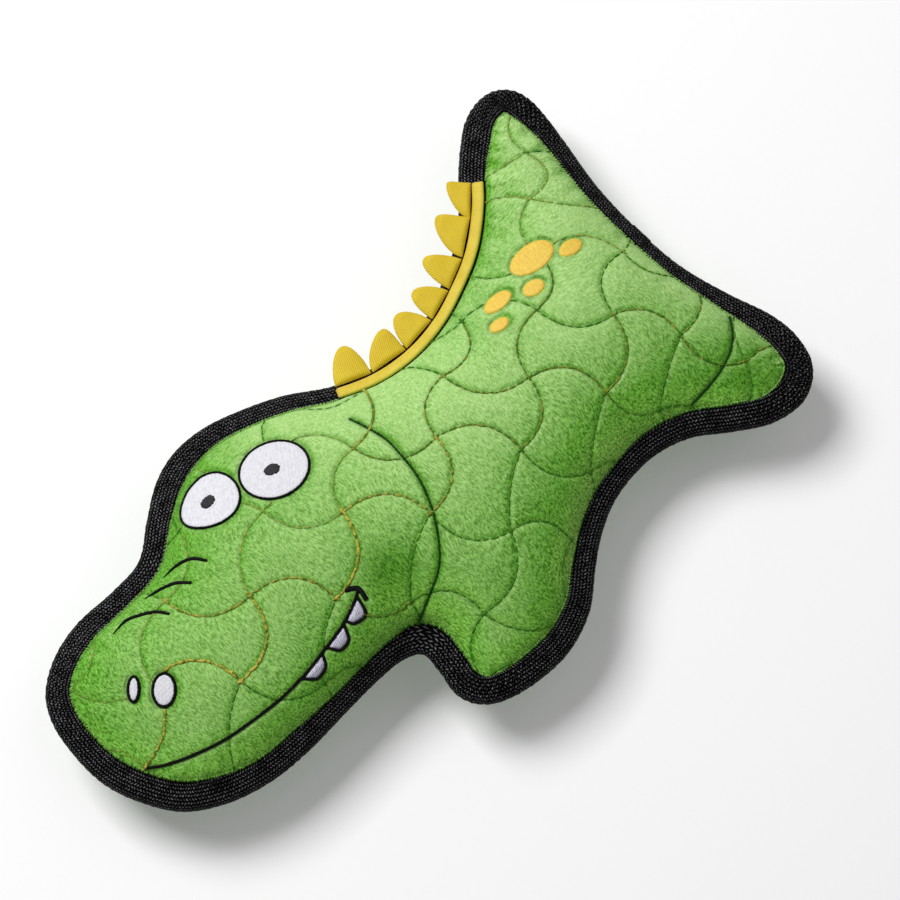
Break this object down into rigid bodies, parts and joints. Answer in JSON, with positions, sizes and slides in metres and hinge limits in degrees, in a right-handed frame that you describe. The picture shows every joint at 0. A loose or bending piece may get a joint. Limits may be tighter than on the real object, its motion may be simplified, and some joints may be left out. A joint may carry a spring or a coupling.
{
  "type": "stuffed alligator dog toy",
  "caption": "Stuffed alligator dog toy with quilted plush panels, a webbing-bound edge, hinged ridge spikes, an embroidered face and a squeaker inside.",
  "frame": {"origin": "on the floor under the middle of the toy, which lies on its back panel with the embroidered face up", "axes": "+X from the snout to the rump, +Y from the feet to the spiked ridge, +Z out of the embroidered face"},
  "size_m": [0.3037, 0.1764, 0.0538],
  "materials": {
    "plush": "short brushed plush, quilted",
    "lining": "woven backing of the quilting",
    "webbing": "coarse woven webbing",
    "ridge_fabric": "fine ribbed tape",
    "black_thread": "satin stitch",
    "white_thread": "fill stitch",
    "tooth_thread": "satin stitch",
    "yellow_thread": "fill stitch",
    "fibre": "loose stuffing",
    "soft_plastic": "thin soft moulding",
    "hard_plastic": "small moulding"
  },
  "bodies": {
    "toy": {"front_cover": "plush", "back_cover": "plush", "front_lining": "lining", "back_lining": "lining", "edge_webbing": "webbing", "ridge_tape": "ridge_fabric", "stuffing_head": "fibre", "stuffing_tail": "fibre", "stuffing_front_foot": "fibre", "stuffing_hind_foot": "fibre", "stuffing_body_front": "fibre", "stuffing_body_back": "fibre", "squeaker_bulb": "soft_plastic", "squeaker_reed_holder": "hard_plastic", "squeaker_reed": "hard_plastic", "right_eye_border": "black_thread", "right_eye_white": "white_thread", "right_pupil": "black_thread", "left_eye_border": "black_thread", "left_eye_white": "white_thread", "left_pupil": "black_thread", "near_nostril_border": "black_thread", "near_nostril_white": "white_thread", "far_nostril_border": "black_thread", "far_nostril_white": "white_thread", "mouth_line": "black_thread", "tooth_1": "tooth_thread", "tooth_2": "tooth_thread", "tooth_3": "tooth_thread", "nose_wrinkle_1": "black_thread", "nose_wrinkle_2": "black_thread", "nose_wrinkle_3": "black_thread", "spot_1": "yellow_thread", "spot_2": "yellow_thread", "spot_3": "yellow_thread", "spot_4": "yellow_thread", "spot_5": "yellow_thread"},
    "spike_1_flap": {"spike_1": "ridge_fabric"},
    "spike_2_flap": {"spike_2": "ridge_fabric"},
    "spike_3_flap": {"spike_3": "ridge_fabric"},
    "spike_4_flap": {"spike_4": "ridge_fabric"},
    "spike_5_flap": {"spike_5": "ridge_fabric"},
    "spike_6_flap": {"spike_6": "ridge_fabric"},
    "spike_7_flap": {"spike_7": "ridge_fabric"}
  },
  "joints": [
    {"name": "spike_1_bend", "type": "hinge", "parent": "toy", "child": "spike_1_flap", "pos_m": [0.01976, 0.04234, 0.0334], "axis": [0.9171, -0.3986, 0], "range_deg": [0, 75], "stiffness_Nm_per_rad": 0.004},
    {"name": "spike_2_bend", "type": "hinge", "parent": "toy", "child": "spike_2_flap", "pos_m": [0.03413, 0.03817, 0.0334], "axis": [0.9873, -0.159, 0], "range_deg": [0, 75], "stiffness_Nm_per_rad": 0.004},
    {"name": "spike_3_bend", "type": "hinge", "parent": "toy", "child": "spike_3_flap", "pos_m": [0.04897, 0.03759, 0.0334], "axis": [0.9961, 0.0877, 0], "range_deg": [0, 75], "stiffness_Nm_per_rad": 0.004},
    {"name": "spike_4_bend", "type": "hinge", "parent": "toy", "child": "spike_4_flap", "pos_m": [0.06254, 0.04011, 0.0334], "axis": [0.9578, 0.2874, 0], "range_deg": [0, 75], "stiffness_Nm_per_rad": 0.004},
    {"name": "spike_5_bend", "type": "hinge", "parent": "toy", "child": "spike_5_flap", "pos_m": [0.07508, 0.04463, 0.0334], "axis": [0.9214, 0.3886, 0], "range_deg": [0, 75], "stiffness_Nm_per_rad": 0.004},
    {"name": "spike_6_bend", "type": "hinge", "parent": "toy", "child": "spike_6_flap", "pos_m": [0.08799, 0.05187, 0.0334], "axis": [0.825, 0.5651, 0], "range_deg": [0, 75], "stiffness_Nm_per_rad": 0.004},
    {"name": "spike_7_bend", "type": "hinge", "parent": "toy", "child": "spike_7_flap", "pos_m": [0.09942, 0.06101, 0.0334], "axis": [0.7173, 0.6968, 0], "range_deg": [0, 75], "stiffness_Nm_per_rad": 0.004}
  ]
}
